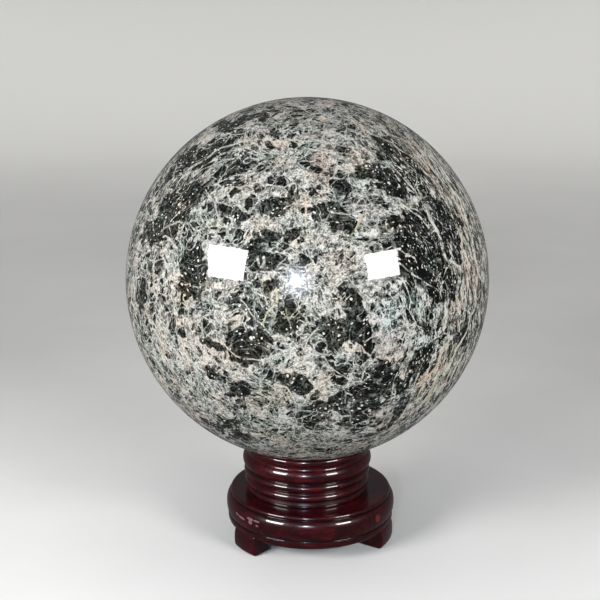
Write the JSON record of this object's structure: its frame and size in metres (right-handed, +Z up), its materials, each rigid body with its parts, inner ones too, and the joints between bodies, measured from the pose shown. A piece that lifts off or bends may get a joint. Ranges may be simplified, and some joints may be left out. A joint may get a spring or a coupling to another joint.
{
  "type": "decorative stone sphere on stand",
  "caption": "Polished dark green and black stone ball with pale veins, resting in the dished collar of a turned, red lacquered wooden stand on bracket feet.",
  "frame": {"origin": "on the supporting surface, straight below the middle of the ball", "axes": "+Z up through the ball's centre, -Y towards the side seen first, +X to that viewer's right"},
  "size_m": [0.2, 0.2, 0.251],
  "materials": {
    "veined_stone": "polished",
    "red_lacquer": "gloss"
  },
  "bodies": {
    "root": {"sphere": "veined_stone", "stand_collar": "red_lacquer", "stand_base": "red_lacquer"}
  },
  "joints": []
}
